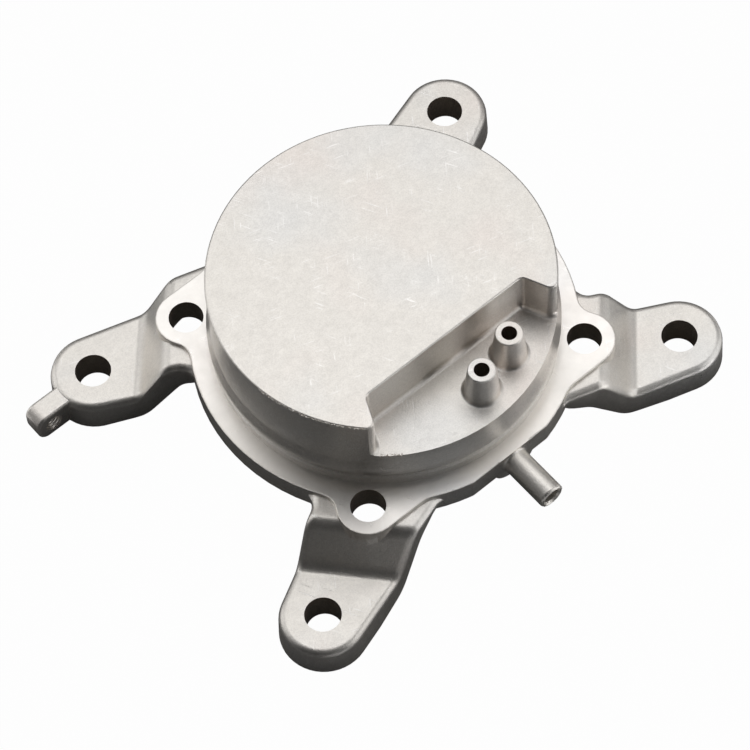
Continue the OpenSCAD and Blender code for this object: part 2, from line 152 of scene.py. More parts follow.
@dataclass
class ShaderLibrary:
    """Effects that several finishes share, each a node group that is built once."""

    grain: bpy.types.NodeTree = field(init=False)
    patches: bpy.types.NodeTree = field(init=False)
    scratches: bpy.types.NodeTree = field(init=False)

    def __post_init__(self) -> None:
        """Builds the groups."""
        self.grain = self.build_grain()
        self.patches = self.build_patches()
        self.scratches = self.build_scratches()

    def start(self, name: str, inputs: dict[str, float], outputs: dict[str, str]) -> bpy.types.NodeTree:
        """Makes an empty group with its sockets.

        Args:
            name: The group's name.
            inputs: Name and first value of each number that goes in, beside the Vector.
            outputs: Name and socket type of each result.

        Returns:
            The group's tree, with its input and output nodes in place.
        """
        tree = bpy.data.node_groups.new(name, "ShaderNodeTree")
        tree.interface.new_socket("Vector", in_out="INPUT", socket_type="NodeSocketVector")
        for label, value in inputs.items():
            socket = tree.interface.new_socket(label, in_out="INPUT", socket_type="NodeSocketFloat")
            socket.default_value = value
        for label, kind in outputs.items():
            tree.interface.new_socket(label, in_out="OUTPUT", socket_type=kind)
        tree.nodes.new("NodeGroupInput")
        tree.nodes.new("NodeGroupOutput")
        return tree

    def ends(self, tree: bpy.types.NodeTree) -> tuple[bpy.types.Node, bpy.types.Node]:
        """Finds the two ends of a group.

        Args:
            tree: The group's tree.

        Returns:
            Its input node and its output node.
        """
        return tree.nodes["Group Input"], tree.nodes["Group Output"]

    def build_grain(self) -> bpy.types.NodeTree:
        """Builds the fine grain of a cast skin: coarse and fine bumps as one height.

        Returns:
            The group, with Coarse, Fine and Fine Share in and Height out.
        """
        tree = self.start(
            "fine_grain",
            {"Coarse": 900.0, "Fine": 4200.0, "Fine Share": 0.5},
            {"Height": "NodeSocketFloat"},
        )
        source, result = self.ends(tree)
        vector = source.outputs["Vector"]
        mix = tree.nodes.new("ShaderNodeMix")
        tree.links.new(source.outputs["Fine Share"], mix.inputs["Factor"])
        tree.links.new(smooth_noise(tree, vector, source.outputs["Coarse"], COARSE_DETAIL), mix.inputs["A"])
        tree.links.new(smooth_noise(tree, vector, source.outputs["Fine"], FINE_DETAIL), mix.inputs["B"])
        tree.links.new(mix.outputs["Result"], result.inputs["Height"])
        return tree

    def build_patches(self) -> bpy.types.NodeTree:
        """Builds the faint warm and cool patches of bare metal.

        Returns:
            The group, with Scale in and Warm, Cool and Tone masks out.
        """
        tree = self.start(
            "tone_patches",
            {"Scale": 70.0},
            {"Warm": "NodeSocketFloat", "Cool": "NodeSocketFloat", "Tone": "NodeSocketFloat"},
        )
        source, result = self.ends(tree)
        vector, scale = source.outputs["Vector"], source.outputs["Scale"]
        shift = tree.nodes.new("ShaderNodeVectorMath")
        shift.operation = "ADD"
        shift.inputs[1].default_value = PATCH_SHIFT
        finer = math_node(tree, "MULTIPLY", 1.0, TONE_RATIO)
        tree.links.new(vector, shift.inputs[0])
        tree.links.new(scale, finer.inputs[0])
        for label, place in (("Warm", vector), ("Cool", shift.outputs["Vector"])):
            mask = ramp(tree, *PATCH_LIMITS)
            tree.links.new(smooth_noise(tree, place, scale, PATCH_DETAIL), mask.inputs["Value"])
            tree.links.new(mask.outputs["Result"], result.inputs[label])
        tone = smooth_noise(tree, vector, finer.outputs["Value"], TONE_DETAIL)
        tree.links.new(tone, result.inputs["Tone"])
        return tree

    def build_scratches(self) -> bpy.types.NodeTree:
        """Builds short fine scratches in three directions, kept to scattered places.

        Returns:
            The group, with Length and Amount in and a Mask out.
        """
        tree = self.start(
            "fine_scratches",
            {"Length": 90.0, "Amount": 0.5},
            {"Mask": "NodeSocketFloat"},
        )
        source, result = self.ends(tree)
        vector = source.outputs["Vector"]
        total: bpy.types.NodeSocket | None = None
        for angle in SCRATCH_ANGLES:
            turn = tree.nodes.new("ShaderNodeVectorRotate")
            turn.rotation_type = "Z_AXIS"
            turn.inputs["Angle"].default_value = angle
            stretch = tree.nodes.new("ShaderNodeVectorMath")
            stretch.operation = "MULTIPLY"
            stretch.inputs[1].default_value = (1.0, SCRATCH_STRETCH, SCRATCH_STRETCH)
            thin = ramp(tree, *SCRATCH_LIMITS)
            tree.links.new(vector, turn.inputs["Vector"])
            tree.links.new(turn.outputs["Vector"], stretch.inputs[0])
            lines = smooth_noise(
                tree, stretch.outputs["Vector"], source.outputs["Length"], SCRATCH_DETAIL)
            tree.links.new(lines, thin.inputs["Value"])
            if total is None:
                total = thin.outputs["Result"]
                continue
            both = math_node(tree, "MAXIMUM")
            tree.links.new(total, both.inputs[0])
            tree.links.new(thin.outputs["Result"], both.inputs[1])
            total = both.outputs["Value"]
        places = ramp(tree, *SCATTER_LIMITS)
        kept = math_node(tree, "MULTIPLY")
        scaled = math_node(tree, "MULTIPLY")
        scatter = smooth_noise(tree, vector, SCATTER_SCALE, SCATTER_DETAIL)
        tree.links.new(scatter, places.inputs["Value"])
        tree.links.new(total, kept.inputs[0])
        tree.links.new(places.outputs["Result"], kept.inputs[1])
        tree.links.new(kept.outputs["Value"], scaled.inputs[0])
        tree.links.new(source.outputs["Amount"], scaled.inputs[1])
        tree.links.new(scaled.outputs["Value"], result.inputs["Mask"])
        return tree


@dataclass(frozen=True)
class MetalFinish:
    """A bare metal finish with grain, painted shade in the grain's hollows, faint patches and scratches.

    Depths and pitches are in metres. The coarse and the fine grain are given in cells per
    metre. The top share is what is left of the grain on the drum's end face.
    """

    name: str
    colour: tuple[float, float, float]
    warm: tuple[float, float, float]
    cool: tuple[float, float, float]
    roughness: tuple[float, float]
    grain_depth: float
    coarse: float
    fine: float
    fine_share: float
    # strength of the painted shade in the grain's hollows
    hollow_shade: float
    scratch_amount: float
    top_share: float = 1.0
    lathe_pitch: float = 0.0
    lathe_depth: float = 0.0
    lathe_stretch: float = 0.0

    def place(self, tree: bpy.types.NodeTree, group: bpy.types.NodeTree,
              values: dict[str, float], vector: bpy.types.NodeSocket) -> bpy.types.Node:
        """Places a shared group in the material.

        Args:
            tree: The material's tree.
            group: The shared group.
            values: Values of the group's inputs.
            vector: The coordinates that it reads.

        Returns:
            The group's node.
        """
        node = tree.nodes.new("ShaderNodeGroup")
        node.node_tree = group
        for label, value in values.items():
            node.inputs[label].default_value = value
        tree.links.new(vector, node.inputs["Vector"])
        return node

    def tint(self, tree: bpy.types.NodeTree, base: bpy.types.NodeSocket | None,
             mask: bpy.types.NodeSocket, colour: tuple[float, float, float]) -> bpy.types.NodeSocket:
        """Mixes a colour in by a mask.

        Args:
            tree: The material's tree.
            base: The colour so far, or None for the finish's own colour.
            mask: Where the new colour shows.
            colour: The new colour.

        Returns:
            The mixed colour.
        """
        mix = tree.nodes.new("ShaderNodeMix")
        mix.data_type = "RGBA"
        if base is None:
            mix.inputs["A"].default_value = (*self.colour, OPAQUE)
        else:
            tree.links.new(base, mix.inputs["A"])
        mix.inputs["B"].default_value = (*colour, OPAQUE)
        tree.links.new(mask, mix.inputs["Factor"])
        return mix.outputs["Result"]

    def lathe_marks(self, tree: bpy.types.NodeTree, vector: bpy.types.NodeSocket) -> bpy.types.NodeSocket:
        """Adds the fine rings that a facing tool leaves round the drum's axis.

        Args:
            tree: The material's tree.
            vector: Object coordinates.

        Returns:
            The rings' height.
        """
        rings = tree.nodes.new("ShaderNodeTexWave")
        rings.wave_type = "RINGS"
        rings.rings_direction = "Z"
        rings.inputs["Scale"].default_value = 1.0 / self.lathe_pitch
        rings.inputs["Distortion"].default_value = RING_DISTORTION
        rings.inputs["Detail"].default_value = RING_DETAIL
        tree.links.new(vector, rings.inputs["Vector"])
        return rings.outputs["Fac"]

    def build(self, library: ShaderLibrary) -> bpy.types.Material:
        """Builds the material.

        Args:
            library: The shared effects.

        Returns:
            The material.
        """
        material = bpy.data.materials.new(self.name)
        material.use_nodes = True
        tree = material.node_tree
        shader = tree.nodes["Principled BSDF"]
        shader.inputs["Metallic"].default_value = 1.0
        vector = tree.nodes.new("ShaderNodeTexCoord").outputs["Object"]
        patches = self.place(tree, library.patches, {"Scale": PATCH_SCALE}, vector)
        colour = self.tint(tree, None, patches.outputs["Warm"], self.warm)
        colour = self.tint(tree, colour, patches.outputs["Cool"], self.cool)
        scratches = self.place(
            tree, library.scratches, {"Length": SCRATCH_SCALE, "Amount": self.scratch_amount}, vector)
        colour = self.tint(tree, colour, scratches.outputs["Mask"], FRESH_METAL)
        grain = self.place(
            tree, library.grain,
            {"Coarse": self.coarse, "Fine": self.fine, "Fine Share": self.fine_share}, vector)
        # the base colour carries painted shade in the grain's hollows
        tree.links.new(self.shade_grain_hollows(tree, colour, grain.outputs["Height"]), shader.inputs["Base Color"])
        span = ramp(tree, *TONE_LIMITS)
        span.inputs["To Min"].default_value = self.roughness[0]
        span.inputs["To Max"].default_value = self.roughness[1]
        tree.links.new(patches.outputs["Tone"], span.inputs["Value"])
        smoother = math_node(tree, "MULTIPLY_ADD", 0.0, SCRATCH_POLISH)
        smoother.use_clamp = True
        tree.links.new(scratches.outputs["Mask"], smoother.inputs[0])
        tree.links.new(span.outputs["Result"], smoother.inputs[2])
        tree.links.new(smoother.outputs["Value"], shader.inputs["Roughness"])
        self.add_relief(tree, vector, grain, scratches, shader)
        return material

    def shade_grain_hollows(self, tree: bpy.types.NodeTree, colour: bpy.types.NodeSocket,
                 height: bpy.types.NodeSocket) -> bpy.types.NodeSocket:
        """Paints shade into the grain's hollows, so they come out a little darker than its tops.

        Args:
            tree: The material's tree.
            colour: The metal's colour.
            height: The grain's height.

        Returns:
            The colour, with painted shade in the grain's hollows.
        """
        shade = ramp(tree, *HOLLOW_SHADE_LIMITS)
        shade.inputs["To Min"].default_value = 1.0 - self.hollow_shade
        mix = tree.nodes.new("ShaderNodeMix")
        mix.data_type = "RGBA"
        mix.blend_type = "MULTIPLY"
        mix.inputs["Factor"].default_value = FULL_STRENGTH
        tree.links.new(height, shade.inputs["Value"])
        tree.links.new(colour, mix.inputs["A"])
        tree.links.new(shade.outputs["Result"], mix.inputs["B"])
        return mix.outputs["Result"]

    def calm(self, tree: bpy.types.NodeTree, vector: bpy.types.NodeSocket) -> bpy.types.NodeSocket:
        """Makes the grain weaker on the drum's end face, which was dressed more finely than the rest.

        Args:
            tree: The material's tree.
            vector: Object coordinates.

        Returns:
            The grain's strength, which falls from 1 to top_share at the end face.
        """
        place = tree.nodes.new("ShaderNodeSeparateXYZ")
        share = ramp(tree, *END_FACE_RANGE)
        share.inputs["To Min"].default_value = FULL_STRENGTH
        share.inputs["To Max"].default_value = self.top_share
        tree.links.new(vector, place.inputs["Vector"])
        tree.links.new(place.outputs["Z"], share.inputs["Value"])
        return share.outputs["Result"]

    def add_relief(self, tree: bpy.types.NodeTree, vector: bpy.types.NodeSocket, grain: bpy.types.Node,
                   scratches: bpy.types.Node, shader: bpy.types.Node) -> None:
        """Adds grain, scratches and tool marks as bumps.

        Args:
            tree: The material's tree.
            vector: Object coordinates.
            grain: The grain's node.
            scratches: The scratches' node.
            shader: The material's shader.
        """
        cut = math_node(tree, "MULTIPLY_ADD", 0.0, SCRATCH_DEPTH)
        tree.links.new(scratches.outputs["Mask"], cut.inputs[0])
        tree.links.new(grain.outputs["Height"], cut.inputs[2])
        bump = tree.nodes.new("ShaderNodeBump")
        bump.inputs["Distance"].default_value = self.grain_depth
        tree.links.new(self.calm(tree, vector), bump.inputs["Strength"])
        tree.links.new(cut.outputs["Value"], bump.inputs["Height"])
        if self.lathe_depth > 0.0:
            tangent = tree.nodes.new("ShaderNodeTangent")
            tangent.direction_type = "RADIAL"
            tangent.axis = "Z"
            tree.links.new(tangent.outputs["Tangent"], shader.inputs["Tangent"])
            shader.inputs["Anisotropic"].default_value = self.lathe_stretch
            shader.inputs["Anisotropic Rotation"].default_value = QUARTER_TURN
            rings = tree.nodes.new("ShaderNodeBump")
            rings.inputs["Strength"].default_value = FULL_STRENGTH
            rings.inputs["Distance"].default_value = self.lathe_depth
            tree.links.new(self.lathe_marks(tree, vector), rings.inputs["Height"])
            tree.links.new(rings.outputs["Normal"], bump.inputs["Normal"])
        tree.links.new(bump.outputs["Normal"], shader.inputs["Normal"])


CAST_SKIN = MetalFinish(
    name="cast_skin",
    colour=(0.875, 0.84, 0.79),
    warm=(0.88, 0.815, 0.765),
    cool=(0.85, 0.835, 0.81),
    roughness=(0.385, 0.43),
    grain_depth=0.05 * MM,
    coarse=1000.0,
    fine=2600.0,
    fine_share=0.6,
    hollow_shade=0.12,
    scratch_amount=0.65,
    top_share=0.34,
)
MILLED_FACE = MetalFinish(
    name="milled_face",
    colour=(0.93, 0.90, 0.86),
    warm=(0.93, 0.88, 0.84),
    cool=(0.91, 0.90, 0.89),
    roughness=(0.30, 0.37),
    grain_depth=0.005 * MM,
    coarse=700.0,
    fine=2500.0,
    fine_share=0.3,
    hollow_shade=0.03,
    scratch_amount=0.35,
    lathe_pitch=0.9 * MM,
    lathe_depth=0.001 * MM,
    lathe_stretch=0.5,
)
DRILLED_WALL = MetalFinish(
    name="drilled_wall",
    colour=(0.62, 0.55, 0.47),
    warm=(0.58, 0.46, 0.36),
    cool=(0.54, 0.50, 0.45),
    roughness=(0.36, 0.46),
    grain_depth=0.008 * MM,
    coarse=1400.0,
    fine=3800.0,
    fine_share=0.5,
    hollow_shade=0.2,
    scratch_amount=0.2,
)


def dress(piece: bpy.types.Object, body: str = "root") -> bpy.types.Object:
    """Fixes a finished piece to its body.

    Args:
        piece: The piece, with its mesh in place.
        body: The body that it moves with.

    Returns:
        The piece.
    """
    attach(piece, body)
    LOG.info("%s: %d vertices, %d faces", piece.name, len(piece.data.vertices), len(piece.data.polygons))
    return piece


def bake_rule(name: str, tree: bpy.types.NodeTree, values: dict[str, float | int]) -> bpy.types.Object:
    """Runs a Geometry Nodes tree once and keeps its result as a plain mesh.

    Args:
        name: Name of the new piece.
        tree: The tree, whose output is its first one.
        values: Values of its named inputs.

    Returns:
        The piece, without its modifier.
    """
    piece = bpy.data.objects.new(name, bpy.data.meshes.new(name))
    bpy.context.scene.collection.objects.link(piece)
    modifier = piece.modifiers.new("rule", "NODES")
    modifier.node_group = tree
    for item in tree.interface.items_tree:
        if item.in_out == "INPUT" and item.name in values:
            modifier[item.identifier] = values[item.name]
    result = piece.evaluated_get(bpy.context.evaluated_depsgraph_get())
    mesh = bpy.data.meshes.new_from_object(result)
    piece.modifiers.remove(modifier)
    piece.data = mesh
    mesh.name = name
    shape = bmesh.new()
    shape.from_mesh(mesh)
    bmesh.ops.remove_doubles(shape, verts=shape.verts, dist=DOUBLE_GAP)
    bmesh.ops.recalc_face_normals(shape, faces=shape.faces)
    shape.to_mesh(mesh)
    shape.free()
    return piece


def start_rule(name: str, inputs: dict[str, float | int]) -> bpy.types.NodeTree:
    """Makes an empty Geometry Nodes tree with its named inputs.

    Args:
        name: The tree's name.
        inputs: Name and first value of each input. A whole number makes an integer input.

    Returns:
        The tree, with its input and output nodes in place.
    """
    tree = bpy.data.node_groups.new(name, "GeometryNodeTree")
    tree.interface.new_socket("Geometry", in_out="OUTPUT", socket_type="NodeSocketGeometry")
    for label, value in inputs.items():
        kind = "NodeSocketInt" if isinstance(value, int) else "NodeSocketFloat"
        tree.interface.new_socket(label, in_out="INPUT", socket_type=kind).default_value = value
    tree.nodes.new("NodeGroupInput")
    tree.nodes.new("NodeGroupOutput")
    return tree


def end_rule(tree: bpy.types.NodeTree, geometry: bpy.types.NodeSocket, finish: bpy.types.Material) -> None:
    """Ends a tree in Realize Instances and Set Material.

    Args:
        tree: The tree.
        geometry: What it has made.
        finish: The material of the result.
    """
    real = tree.nodes.new("GeometryNodeRealizeInstances")
    dressed = tree.nodes.new("GeometryNodeSetMaterial")
    dressed.inputs["Material"].default_value = finish
    tree.links.new(geometry, real.inputs["Geometry"])
    tree.links.new(real.outputs["Geometry"], dressed.inputs["Geometry"])
    tree.links.new(dressed.outputs["Geometry"], tree.nodes["Group Output"].inputs["Geometry"])


@dataclass
class EyeThread:
    """The screw thread in the cable lug's eye: one ridge wound along the bore."""

    centre: tuple[float, float, float] = (-75.7 * MM, 46.2 * MM, -18.15 * MM)
    bore_radius: float = 2.5 * MM
    length: float = 5.2 * MM
    pitch: float = 0.8 * MM
    ridge: float = 0.32 * MM
    steps_per_turn: int = 40
    ridge_sides: int = 5

    def build(self, finish: bpy.types.Material) -> bpy.types.Object:
        """Builds the thread.

        Args:
            finish: The thread's finish.

        Returns:
            The thread as a plain mesh.
        """
        tree = start_rule("eye_thread_rule", {
            "Radius": 0.002, "Length": 0.005, "Turns": 6.0, "Ridge": 0.0003,
        })
        source = tree.nodes["Group Input"]
        helix = tree.nodes.new("GeometryNodeCurveSpiral")
        helix.inputs["Resolution"].default_value = self.steps_per_turn
        profile = tree.nodes.new("GeometryNodeCurvePrimitiveCircle")
        profile.inputs["Resolution"].default_value = self.ridge_sides
        sweep = tree.nodes.new("GeometryNodeCurveToMesh")
        sweep.inputs["Fill Caps"].default_value = True
        turned = tree.nodes.new("GeometryNodeTransform")
        turned.inputs["Rotation"].default_value = (math.radians(90.0), 0.0, 0.0)
        x, y, z = self.centre
        turned.inputs["Translation"].default_value = (x, y + self.length / 2, z)
        for socket in ("Start Radius", "End Radius"):
            tree.links.new(source.outputs["Radius"], helix.inputs[socket])
        tree.links.new(source.outputs["Turns"], helix.inputs["Rotations"])
        tree.links.new(source.outputs["Length"], helix.inputs["Height"])
        tree.links.new(source.outputs["Ridge"], profile.inputs["Radius"])
        tree.links.new(helix.outputs["Curve"], sweep.inputs["Curve"])
        tree.links.new(profile.outputs["Curve"], sweep.inputs["Profile Curve"])
        tree.links.new(sweep.outputs["Mesh"], turned.inputs["Geometry"])
        end_rule(tree, turned.outputs["Geometry"], finish)
        thread = bake_rule("eye_thread", tree, {
            "Radius": self.bore_radius,
            "Length": self.length,
            "Turns": self.length / self.pitch,
            "Ridge": self.ridge,
        })
        return dress(thread)


@dataclass
class EdgeBurrs:
    """Fine burrs left along a stretch of a round edge.

    The edge runs round the drum's axis, or round an axis through the centre that is turned
    about X by the tilt, in degrees. The height is measured along that axis. The smallest and
    the largest size are the flakes' diameters.
    """

    name: str
    finish: Finish
    radius: float
    height: float
    first_angle: float
    last_angle: float
    count: int
    smallest: float
    largest: float
    spread: float
    seed: int
    centre: tuple[float, float, float] = (0.0, 0.0, 0.0)
    tilt: float = 0.0
    arc_points: int = 64

    def build(self, finishes: list[bpy.types.Material]) -> bpy.types.Object:
        """Builds the burrs.

        Args:
            finishes: The finishes, in the order of Finish.

        Returns:
            The burrs as a plain mesh.
        """
        tree = start_rule(f"{self.name}_rule", {
            "Radius": 0.044, "Start": 0.0, "Sweep": 1.0, "Height": 0.027, "Count": 100,
            "Smallest": 0.0001, "Largest": 0.0002, "Spread": 0.0001, "Seed": 1,
        })
        source = tree.nodes["Group Input"]
        arc = tree.nodes.new("GeometryNodeCurveArc")
        arc.inputs["Resolution"].default_value = self.arc_points
        points = tree.nodes.new("GeometryNodeCurveToPoints")
        flake = tree.nodes.new("GeometryNodeMeshIcoSphere")
        flake.inputs["Radius"].default_value = 1.0
        flake.inputs["Subdivisions"].default_value = 1
        place = tree.nodes.new("GeometryNodeInstanceOnPoints")
        for label, socket in (("Radius", "Radius"), ("Start", "Start Angle"), ("Sweep", "Sweep Angle")):
            tree.links.new(source.outputs[label], arc.inputs[socket])
        tree.links.new(arc.outputs["Curve"], points.inputs["Curve"])
        tree.links.new(source.outputs["Count"], points.inputs["Count"])
        moved = self.jitter(tree, points.outputs["Points"])
        tree.links.new(moved, place.inputs["Points"])
        tree.links.new(flake.outputs["Mesh"], place.inputs["Instance"])
        size = self.chance(tree, "FLOAT")
        tree.links.new(source.outputs["Smallest"], size.inputs[2])
        tree.links.new(source.outputs["Largest"], size.inputs[3])
        tree.links.new(size.outputs[1], place.inputs["Scale"])
        turn = self.chance(tree, "FLOAT_VECTOR")
        turn.inputs[1].default_value = (math.tau, math.tau, math.tau)
        tree.links.new(turn.outputs[0], place.inputs["Rotation"])
        moved_ring = tree.nodes.new("GeometryNodeTransform")
        moved_ring.inputs["Translation"].default_value = self.centre
        moved_ring.inputs["Rotation"].default_value = (math.radians(self.tilt), 0.0, 0.0)
        tree.links.new(place.outputs["Instances"], moved_ring.inputs["Geometry"])
        end_rule(tree, moved_ring.outputs["Geometry"], finishes[self.finish.value])
        burrs = bake_rule(self.name, tree, {
            "Radius": self.radius,
            "Start": math.radians(self.first_angle),
            "Sweep": math.radians(self.last_angle - self.first_angle),
            "Height": self.height,
            "Count": self.count,
            "Smallest": self.smallest / 2,
            "Largest": self.largest / 2,
            "Spread": self.spread,
            "Seed": self.seed,
        })
        return dress(burrs)

    def chance(self, tree: bpy.types.NodeTree, kind: str) -> bpy.types.Node:
        """Adds a random value with the tree's seed.

        Args:
            tree: The tree.
            kind: Blender's name of the value's type.

        Returns:
            The node.
        """
        node = tree.nodes.new("FunctionNodeRandomValue")
        node.data_type = kind
        tree.links.new(tree.nodes["Group Input"].outputs["Seed"], node.inputs["Seed"])
        return node

    def jitter(self, tree: bpy.types.NodeTree, points: bpy.types.NodeSocket) -> bpy.types.NodeSocket:
        """Lifts the points to the edge's height and scatters them a little.

        Args:
            tree: The tree.
            points: The points, at height 0.

        Returns:
            The scattered points.
        """
        source = tree.nodes["Group Input"]
        shift = self.chance(tree, "FLOAT_VECTOR")
        shift.inputs[0].default_value = (-1.0, -1.0, -1.0)
        shift.inputs[1].default_value = (1.0, 1.0, 0.0)
        scaled = tree.nodes.new("ShaderNodeVectorMath")
        scaled.operation = "SCALE"
        lift = tree.nodes.new("ShaderNodeCombineXYZ")
        total = tree.nodes.new("ShaderNodeVectorMath")
        total.operation = "ADD"
        moved = tree.nodes.new("GeometryNodeSetPosition")
        tree.links.new(shift.outputs[0], scaled.inputs[0])
        tree.links.new(source.outputs["Spread"], scaled.inputs["Scale"])
        tree.links.new(source.outputs["Height"], lift.inputs["Z"])
        tree.links.new(scaled.outputs["Vector"], total.inputs[0])
        tree.links.new(lift.outputs["Vector"], total.inputs[1])
        tree.links.new(points, moved.inputs["Geometry"])
        tree.links.new(total.outputs["Vector"], moved.inputs["Offset"])
        return moved.outputs["Geometry"]


@dataclass
class Casting:
    """The casting's skin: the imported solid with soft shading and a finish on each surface."""

    node: str = "cover_casting"
    weld: float = 1e-6
    sharp_angle: float = math.radians(38.0)
    flat_angle: float = math.radians(0.4)
    face_height: float = 0.0
    face_reach: float = 0.1 * MM
    level_limit: float = 0.99
    wall_limit: float = 0.6
    bores: tuple[tuple[float, float, float], ...] = (
        (35.99 * MM, 35.99 * MM, 4.6 * MM),
        (60.0 * MM, 46.2 * MM, 4.8 * MM),
    )
    small_bores: tuple[tuple[float, float, float], ...] = (
        (1.9 * MM, -35.7 * MM, 2.1 * MM),
        (13.8 * MM, -32.4 * MM, 2.1 * MM),
    )

    def build(self, finishes: list[bpy.types.Material]) -> bpy.types.Object:
        """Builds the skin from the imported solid.

        Args:
            finishes: The finishes, in the order of Finish.

        Returns:
            The skin, which stands for the solid.
        """
        vertices, faces = self.welded(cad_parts[self.node].data)
        mesh = bpy.data.meshes.new("casting_skin")
        mesh.from_pydata(vertices, [], faces)
        for material in finishes:
            mesh.materials.append(material)
        for polygon in mesh.polygons:
            polygon.use_smooth = True
            polygon.material_index = self.finish_of(polygon).value
        mesh.normals_split_custom_set(self.soft_normals(mesh))
        skin = bpy.data.objects.new("casting_skin", mesh)
        bpy.context.scene.collection.objects.link(skin)
        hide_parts(self.node)
        return dress(skin)

    def welded(self, source: bpy.types.Mesh) -> tuple[list[Vector], list[tuple[int, ...]]]:
        """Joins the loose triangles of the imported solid.

        Args:
            source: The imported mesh.

        Returns:
            Its vertices without doubles, and its faces.
        """
        places: dict[tuple[int, ...], int] = {}
        vertices: list[Vector] = []
        index: list[int] = []
        for vertex in source.vertices:
            key = tuple(round(value / self.weld) for value in vertex.co)
            if key not in places:
                places[key] = len(vertices)
                vertices.append(vertex.co.copy())
            index.append(places[key])
        faces = [tuple(index[i] for i in polygon.vertices) for polygon in source.polygons]
        return vertices, [face for face in faces if len(set(face)) == len(face)]

    def finish_of(self, polygon: bpy.types.MeshPolygon) -> Finish:
        """Finds the finish of a face, from its place and its direction.

        Args:
            polygon: The face.

        Returns:
            Its finish.
        """
        centre, normal = polygon.center, polygon.normal
        if normal.z > self.level_limit and abs(centre.z - self.face_height) < self.face_reach:
            return Finish.MILLED
        if abs(normal.z) > self.wall_limit:
            return Finish.CAST
        for x, y, reach in self.bores:
            if math.hypot(abs(centre.x) - x, abs(centre.y) - y) < reach:
                return Finish.DRILLED
        for x, y, reach in self.small_bores:
            if math.hypot(centre.x - x, centre.y - y) < reach:
                return Finish.DRILLED
        return Finish.CAST

    def soft_normals(self, mesh: bpy.types.Mesh) -> list[Vector]:
        """Works out a normal for each face corner, so that flat faces stay flat and only edges bend.

        Args:
            mesh: The welded mesh.

        Returns:
            One normal for each face corner.
        """
        normals = [polygon.normal.copy() for polygon in mesh.polygons]
        owners: dict[tuple[int, int], list[int]] = {}
        for polygon in mesh.polygons:
            for key in polygon.edge_keys:
                owners.setdefault(key, []).append(polygon.index)
        pairs = [tuple(owner) for owner in owners.values() if len(owner) == 2]
        region = list(range(len(normals)))

        def root(i: int) -> int:
            """Finds a flat region's first face.

            Args:
                i: Index of a face of the region.

            Returns:
                Index of the first face.
            """
            while region[i] != i:
                region[i] = region[region[i]]
                i = region[i]
            return i

        flat_limit, sharp_limit = math.cos(self.flat_angle), math.cos(self.sharp_angle)
        for a, b in pairs:
            if normals[a].dot(normals[b]) > flat_limit:
                region[root(a)] = root(b)
        weight: dict[int, float] = {}
        for polygon in mesh.polygons:
            weight[root(polygon.index)] = weight.get(root(polygon.index), 0.0) + polygon.area
        around: list[list[int]] = [[] for _ in mesh.vertices]
        for polygon in mesh.polygons:
            for vertex in polygon.vertices:
                around[vertex].append(polygon.index)
        result: list[Vector] = []
        for polygon in mesh.polygons:
            own = normals[polygon.index]
            for vertex in polygon.vertices:
                total, seen = Vector(), set()
                for other in around[vertex]:
                    first = root(other)
                    if first in seen or own.dot(normals[other]) < sharp_limit:
                        continue
                    seen.add(first)
                    total += normals[other] * weight[first]
                result.append(total.normalized() if total.length > 0.0 else own)
        return result


BURRS = (
    EdgeBurrs("rim_burrs", Finish.CAST, 43.93 * MM, 27.11 * MM, 187.0, 225.0,
              150, 0.18 * MM, 0.56 * MM, 0.15 * MM, 11),
    EdgeBurrs("rim_chips", Finish.DRILLED, 43.86 * MM, 27.19 * MM, 188.0, 224.0,
              64, 0.20 * MM, 0.41 * MM, 0.12 * MM, 23),
    EdgeBurrs("nose_burrs", Finish.CAST, 43.75 * MM, 13.45 * MM, 228.0, 235.0,
              26, 0.14 * MM, 0.42 * MM, 0.30 * MM, 5),
    EdgeBurrs("nose_chips", Finish.DRILLED, 43.85 * MM, 13.38 * MM, 229.0, 236.0,
              30, 0.20 * MM, 0.55 * MM, 0.24 * MM, 31),
    EdgeBurrs("left_stub_burrs", Finish.MILLED, 3.48 * MM, 23.62 * MM, 150.0, 390.0,
              44, 0.10 * MM, 0.34 * MM, 0.07 * MM, 41, centre=(1.9 * MM, -35.7 * MM, 0.0)),
    EdgeBurrs("right_stub_burrs", Finish.MILLED, 3.48 * MM, 23.62 * MM, 150.0, 390.0,
              34, 0.10 * MM, 0.30 * MM, 0.07 * MM, 47, centre=(13.8 * MM, -32.4 * MM, 0.0)),
    EdgeBurrs("tube_end_burrs", Finish.MILLED, 3.36 * MM, 62.40 * MM, 0.0, 360.0,
              60, 0.12 * MM, 0.44 * MM, 0.12 * MM, 53, centre=(1.3 * MM, 0.0, -4.3 * MM), tilt=90.0),
    EdgeBurrs("tube_mouth_burrs", Finish.MILLED, 2.55 * MM, 62.48 * MM, 0.0, 360.0,
              40, 0.14 * MM, 0.50 * MM, 0.20 * MM, 59, centre=(1.3 * MM, 0.0, -4.3 * MM), tilt=90.0),
)


@dataclass(frozen=True)
class Card:
    """A soft white card of the light tent, bent round the casting's axis.

    Azimuths run anticlockwise from +X, in degrees. The two edges are given as distance from
    the axis and height, in metres. The radiance is the brightness of its face, where 1 is white.
    """

    name: str
    azimuths: tuple[float, float]
    inner: tuple[float, float]
    outer: tuple[float, float]
    radiance: float

    def points(self, columns: int) -> list[tuple[float, float, float]]:
        """Works out the card's corners.

        Args:
            columns: Steps round the axis.

        Returns:
            The points of the inner edge and then those of the outer edge.
        """
        first, last = (math.radians(azimuth) for azimuth in self.azimuths)
        turns = [first + (last - first) * i / columns for i in range(columns + 1)]
        return [
            (reach * math.cos(turn), reach * math.sin(turn), height)
            for reach, height in (self.inner, self.outer)
            for turn in turns
        ]


